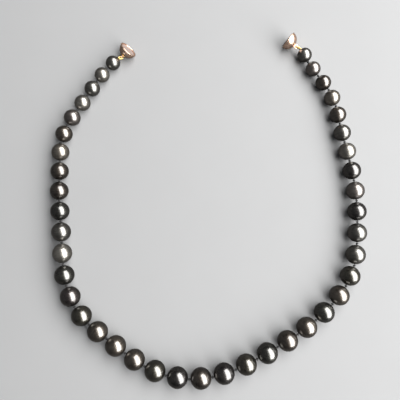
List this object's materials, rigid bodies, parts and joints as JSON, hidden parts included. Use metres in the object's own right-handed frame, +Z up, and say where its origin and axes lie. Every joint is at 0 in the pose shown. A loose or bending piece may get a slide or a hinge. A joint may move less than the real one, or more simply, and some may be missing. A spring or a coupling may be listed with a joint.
{
  "type": "pearl necklace",
  "caption": "Graduated strand of dark round pearls, hand-knotted on silk, laid open in a U, with a rose-gold magnetic ball clasp in two halves.",
  "frame": {"origin": "middle of the laid necklace, on the surface it lies on", "axes": "+Z up from the surface, +Y from the largest pearl towards the clasp, +X to the wearer's right arm of the U as seen from above"},
  "size_m": [0.1656, 0.1882, 0.0102],
  "materials": {
    "pearl": "dark grey nacre with green and aubergine overtones, high lustre",
    "silk": "dark grey twisted silk",
    "gimp": "bright yellow gold-coloured wound wire",
    "clasp_metal": "polished rose gold",
    "magnet": "satin rose-plated face"
  },
  "bodies": {
    "link_01": {"pearl_01": "pearl", "gimp_left": "gimp"},
    "link_02": {"pearl_02": "pearl"},
    "link_03": {"pearl_03": "pearl"},
    "link_04": {"pearl_04": "pearl"},
    "link_05": {"pearl_05": "pearl"},
    "link_06": {"pearl_06": "pearl"},
    "link_07": {"pearl_07": "pearl"},
    "link_08": {"pearl_08": "pearl"},
    "link_09": {"pearl_09": "pearl"},
    "link_10": {"pearl_10": "pearl"},
    "link_11": {"pearl_11": "pearl"},
    "link_12": {"pearl_12": "pearl"},
    "link_13": {"pearl_13": "pearl"},
    "link_14": {"pearl_14": "pearl"},
    "link_15": {"pearl_15": "pearl"},
    "link_16": {"pearl_16": "pearl"},
    "link_17": {"pearl_17": "pearl"},
    "link_18": {"pearl_18": "pearl"},
    "link_19": {"pearl_19": "pearl"},
    "link_20": {"pearl_20": "pearl"},
    "link_21": {"pearl_21": "pearl", "silk_thread": "silk"},
    "link_22": {"pearl_22": "pearl"},
    "link_23": {"pearl_23": "pearl"},
    "link_24": {"pearl_24": "pearl"},
    "link_25": {"pearl_25": "pearl"},
    "link_26": {"pearl_26": "pearl"},
    "link_27": {"pearl_27": "pearl"},
    "link_28": {"pearl_28": "pearl"},
    "link_29": {"pearl_29": "pearl"},
    "link_30": {"pearl_30": "pearl"},
    "link_31": {"pearl_31": "pearl"},
    "link_32": {"pearl_32": "pearl"},
    "link_33": {"pearl_33": "pearl"},
    "link_34": {"pearl_34": "pearl"},
    "link_35": {"pearl_35": "pearl"},
    "link_36": {"pearl_36": "pearl"},
    "link_37": {"pearl_37": "pearl"},
    "link_38": {"pearl_38": "pearl"},
    "link_39": {"pearl_39": "pearl"},
    "link_40": {"pearl_40": "pearl"},
    "link_41": {"pearl_41": "pearl", "gimp_right": "gimp"},
    "clasp_left": {"clasp_cup_left": "clasp_metal", "clasp_ring_left": "clasp_metal", "clasp_magnet_left": "magnet"},
    "clasp_right": {"clasp_cup_right": "clasp_metal", "clasp_ring_right": "clasp_metal", "clasp_magnet_right": "magnet"}
  },
  "joints": [
    {"name": "knot_20_bend", "type": "hinge", "parent": "link_21", "child": "link_20", "pos_m": [-0.0089, -0.08946, 0.0051], "axis": [0, 0, 1], "range_deg": [-20, 20], "deforming": ["silk_thread"]},
    {"name": "knot_19_bend", "type": "hinge", "parent": "link_20", "child": "link_19", "pos_m": [-0.02023, -0.08774, 0.0051], "axis": [0, 0, -1], "range_deg": [-20, 20], "deforming": ["silk_thread"]},
    {"name": "knot_18_bend", "type": "hinge", "parent": "link_19", "child": "link_18", "pos_m": [-0.03081, -0.08338, 0.00509], "axis": [0, 0, 1], "range_deg": [-20, 20], "deforming": ["silk_thread"]},
    {"name": "knot_17_bend", "type": "hinge", "parent": "link_18", "child": "link_17", "pos_m": [-0.04048, -0.07729, 0.00509], "axis": [0, 0, -1], "range_deg": [-20, 20], "deforming": ["silk_thread"]},
    {"name": "knot_16_bend", "type": "hinge", "parent": "link_17", "child": "link_16", "pos_m": [-0.04969, -0.07056, 0.00507], "axis": [0, 0, 1], "range_deg": [-20, 20], "deforming": ["silk_thread"]},
    {"name": "knot_15_bend", "type": "hinge", "parent": "link_16", "child": "link_15", "pos_m": [-0.05884, -0.06382, 0.00505], "axis": [0, 0, -1], "range_deg": [-20, 20], "deforming": ["silk_thread"]},
    {"name": "knot_14_bend", "type": "hinge", "parent": "link_15", "child": "link_14", "pos_m": [-0.06637, -0.05537, 0.00503], "axis": [0, 0, 1], "range_deg": [-20, 20], "deforming": ["silk_thread"]},
    {"name": "knot_13_bend", "type": "hinge", "parent": "link_14", "child": "link_13", "pos_m": [-0.07106, -0.04514, 0.005], "axis": [0, 0, -1], "range_deg": [-20, 20], "deforming": ["silk_thread"]},
    {"name": "knot_12_bend", "type": "hinge", "parent": "link_13", "child": "link_12", "pos_m": [-0.07347, -0.03423, 0.00496], "axis": [0, 0, 1], "range_deg": [-20, 20], "deforming": ["silk_thread"]},
    {"name": "knot_11_bend", "type": "hinge", "parent": "link_12", "child": "link_11", "pos_m": [-0.07462, -0.0232, 0.00492], "axis": [0, 0, -1], "range_deg": [-20, 20], "deforming": ["silk_thread"]},
    {"name": "knot_10_bend", "type": "hinge", "parent": "link_11", "child": "link_10", "pos_m": [-0.07587, -0.01228, 0.00487], "axis": [0, 0, 1], "range_deg": [-20, 20], "deforming": ["silk_thread"]},
    {"name": "knot_09_bend", "type": "hinge", "parent": "link_10", "child": "link_09", "pos_m": [-0.07727, -0.0015, 0.00481], "axis": [0, 0, -1], "range_deg": [-20, 20], "deforming": ["silk_thread"]},
    {"name": "knot_08_bend", "type": "hinge", "parent": "link_09", "child": "link_08", "pos_m": [-0.07789, 0.00923, 0.00474], "axis": [0, 0, 1], "range_deg": [-20, 20], "deforming": ["silk_thread"]},
    {"name": "knot_07_bend", "type": "hinge", "parent": "link_08", "child": "link_07", "pos_m": [-0.07815, 0.01983, 0.00467], "axis": [0, 0, -1], "range_deg": [-20, 20], "deforming": ["silk_thread"]},
    {"name": "knot_06_bend", "type": "hinge", "parent": "link_07", "child": "link_06", "pos_m": [-0.07829, 0.03027, 0.00459], "axis": [0, 0, 1], "range_deg": [-20, 20], "deforming": ["silk_thread"]},
    {"name": "knot_05_bend", "type": "hinge", "parent": "link_06", "child": "link_05", "pos_m": [-0.0756, 0.04018, 0.00451], "axis": [0, 0, -1], "range_deg": [-20, 20], "deforming": ["silk_thread"]},
    {"name": "knot_04_bend", "type": "hinge", "parent": "link_05", "child": "link_04", "pos_m": [-0.07047, 0.04885, 0.00441], "axis": [0, 0, 1], "range_deg": [-20, 20], "deforming": ["silk_thread"]},
    {"name": "knot_03_bend", "type": "hinge", "parent": "link_04", "child": "link_03", "pos_m": [-0.06538, 0.0573, 0.00431], "axis": [0, 0, -1], "range_deg": [-20, 20], "deforming": ["silk_thread"]},
    {"name": "knot_02_bend", "type": "hinge", "parent": "link_03", "child": "link_02", "pos_m": [-0.06058, 0.06567, 0.0042], "axis": [0, 0, 1], "range_deg": [-20, 20], "deforming": ["silk_thread"]},
    {"name": "knot_01_bend", "type": "hinge", "parent": "link_02", "child": "link_01", "pos_m": [-0.05525, 0.07341, 0.00438], "axis": [0, 0, -1], "range_deg": [-20, 20], "deforming": ["silk_thread"]},
    {"name": "knot_21_bend", "type": "hinge", "parent": "link_21", "child": "link_22", "pos_m": [0.00251, -0.08847, 0.0051], "axis": [0, 0, -1], "range_deg": [-20, 20], "deforming": ["silk_thread"]},
    {"name": "knot_22_bend", "type": "hinge", "parent": "link_22", "child": "link_23", "pos_m": [0.01371, -0.08508, 0.0051], "axis": [0, 0, 1], "range_deg": [-20, 20], "deforming": ["silk_thread"]},
    {"name": "knot_23_bend", "type": "hinge", "parent": "link_23", "child": "link_24", "pos_m": [0.0243, -0.08014, 0.00509], "axis": [0, 0, -1], "range_deg": [-20, 20], "deforming": ["silk_thread"]},
    {"name": "knot_24_bend", "type": "hinge", "parent": "link_24", "child": "link_25", "pos_m": [0.03452, -0.07451, 0.00509], "axis": [0, 0, 1], "range_deg": [-20, 20], "deforming": ["silk_thread"]},
    {"name": "knot_25_bend", "type": "hinge", "parent": "link_25", "child": "link_26", "pos_m": [0.04449, -0.0685, 0.00507], "axis": [0, 0, -1], "range_deg": [-20, 20], "deforming": ["silk_thread"]},
    {"name": "knot_26_bend", "type": "hinge", "parent": "link_26", "child": "link_27", "pos_m": [0.05396, -0.0618, 0.00505], "axis": [0, 0, 1], "range_deg": [-20, 20], "deforming": ["silk_thread"]},
    {"name": "knot_27_bend", "type": "hinge", "parent": "link_27", "child": "link_28", "pos_m": [0.06258, -0.0541, 0.00503], "axis": [0, 0, -1], "range_deg": [-20, 20], "deforming": ["silk_thread"]},
    {"name": "knot_28_bend", "type": "hinge", "parent": "link_28", "child": "link_29", "pos_m": [0.06989, -0.04523, 0.005], "axis": [0, 0, 1], "range_deg": [-20, 20], "deforming": ["silk_thread"]},
    {"name": "knot_29_bend", "type": "hinge", "parent": "link_29", "child": "link_30", "pos_m": [0.07479, -0.03492, 0.00496], "axis": [0, 0, -1], "range_deg": [-20, 20], "deforming": ["silk_thread"]},
    {"name": "knot_30_bend", "type": "hinge", "parent": "link_30", "child": "link_31", "pos_m": [0.0769, -0.02379, 0.00492], "axis": [0, 0, 1], "range_deg": [-20, 20], "deforming": ["silk_thread"]},
    {"name": "knot_31_bend", "type": "hinge", "parent": "link_31", "child": "link_32", "pos_m": [0.07781, -0.0126, 0.00487], "axis": [0, 0, -1], "range_deg": [-20, 20], "deforming": ["silk_thread"]},
    {"name": "knot_32_bend", "type": "hinge", "parent": "link_32", "child": "link_33", "pos_m": [0.0782, -0.00149, 0.00481], "axis": [0, 0, 1], "range_deg": [-20, 20], "deforming": ["silk_thread"]},
    {"name": "knot_33_bend", "type": "hinge", "parent": "link_33", "child": "link_34", "pos_m": [0.07762, 0.00948, 0.00474], "axis": [0, 0, -1], "range_deg": [-20, 20], "deforming": ["silk_thread"]},
    {"name": "knot_34_bend", "type": "hinge", "parent": "link_34", "child": "link_35", "pos_m": [0.07604, 0.02021, 0.00467], "axis": [0, 0, 1], "range_deg": [-20, 20], "deforming": ["silk_thread"]},
    {"name": "knot_35_bend", "type": "hinge", "parent": "link_35", "child": "link_36", "pos_m": [0.07399, 0.03069, 0.00459], "axis": [0, 0, -1], "range_deg": [-20, 20], "deforming": ["silk_thread"]},
    {"name": "knot_36_bend", "type": "hinge", "parent": "link_36", "child": "link_37", "pos_m": [0.0721, 0.04102, 0.00451], "axis": [0, 0, 1], "range_deg": [-20, 20], "deforming": ["silk_thread"]},
    {"name": "knot_37_bend", "type": "hinge", "parent": "link_37", "child": "link_38", "pos_m": [0.07053, 0.05122, 0.00441], "axis": [0, 0, -1], "range_deg": [-20, 20], "deforming": ["silk_thread"]},
    {"name": "knot_38_bend", "type": "hinge", "parent": "link_38", "child": "link_39", "pos_m": [0.06714, 0.06074, 0.00431], "axis": [0, 0, 1], "range_deg": [-20, 20], "deforming": ["silk_thread"]},
    {"name": "knot_39_bend", "type": "hinge", "parent": "link_39", "child": "link_40", "pos_m": [0.06179, 0.06905, 0.0042], "axis": [0, 0, -1], "range_deg": [-20, 20], "deforming": ["silk_thread"]},
    {"name": "knot_40_bend", "type": "hinge", "parent": "link_40", "child": "link_41", "pos_m": [0.05668, 0.07724, 0.00418], "axis": [0, 0, 1], "range_deg": [-20, 20], "deforming": ["silk_thread"]},
    {"name": "clasp_left_swing", "type": "hinge", "parent": "link_01", "child": "clasp_left", "pos_m": [-0.0478, 0.08166, 0.00165], "axis": [0.6443, -0.7546, -0.1244], "range_deg": [-12, 25]},
    {"name": "clasp_right_swing", "type": "hinge", "parent": "link_41", "child": "clasp_right", "pos_m": [0.05044, 0.08649, 0.00419], "axis": [-0.0434, 0.1692, -0.9846], "range_deg": [-45, 45]}
  ]
}
